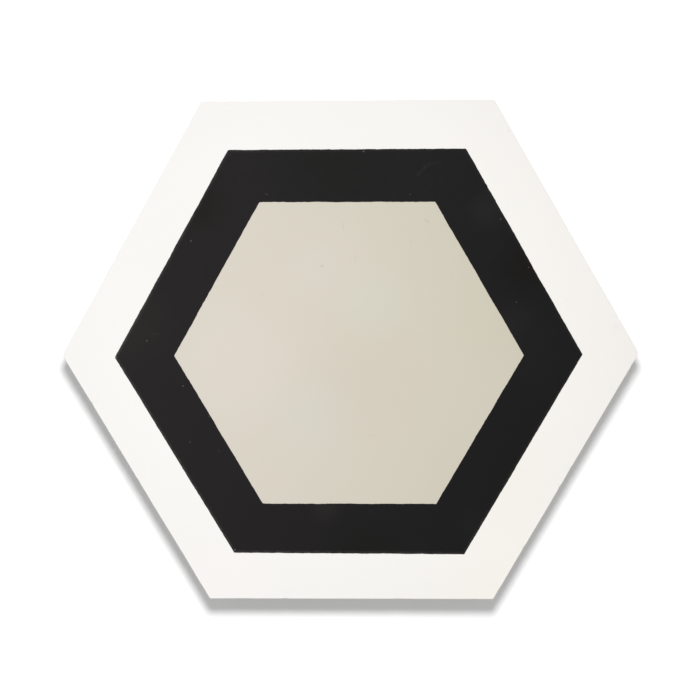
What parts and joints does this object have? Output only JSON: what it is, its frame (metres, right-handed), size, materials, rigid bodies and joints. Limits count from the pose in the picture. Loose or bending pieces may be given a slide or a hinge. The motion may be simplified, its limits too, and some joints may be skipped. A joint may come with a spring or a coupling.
{
  "type": "hexagon floor tile",
  "caption": "Flat hexagonal cement floor tile, its smooth face dyed in flush concentric bands of white, black and greige, with straight sides and a plain flat back.",
  "frame": {"origin": "middle of the back face, on the surface the tile lies on", "axes": "+Z out of the decorated face, +X from the middle through one corner, +Y square to two opposite sides"},
  "size_m": [0.2304, 0.2, 0.016],
  "materials": {
    "cement": "matte"
  },
  "bodies": {
    "root": {"hexagon_tile": "cement"}
  },
  "joints": []
}
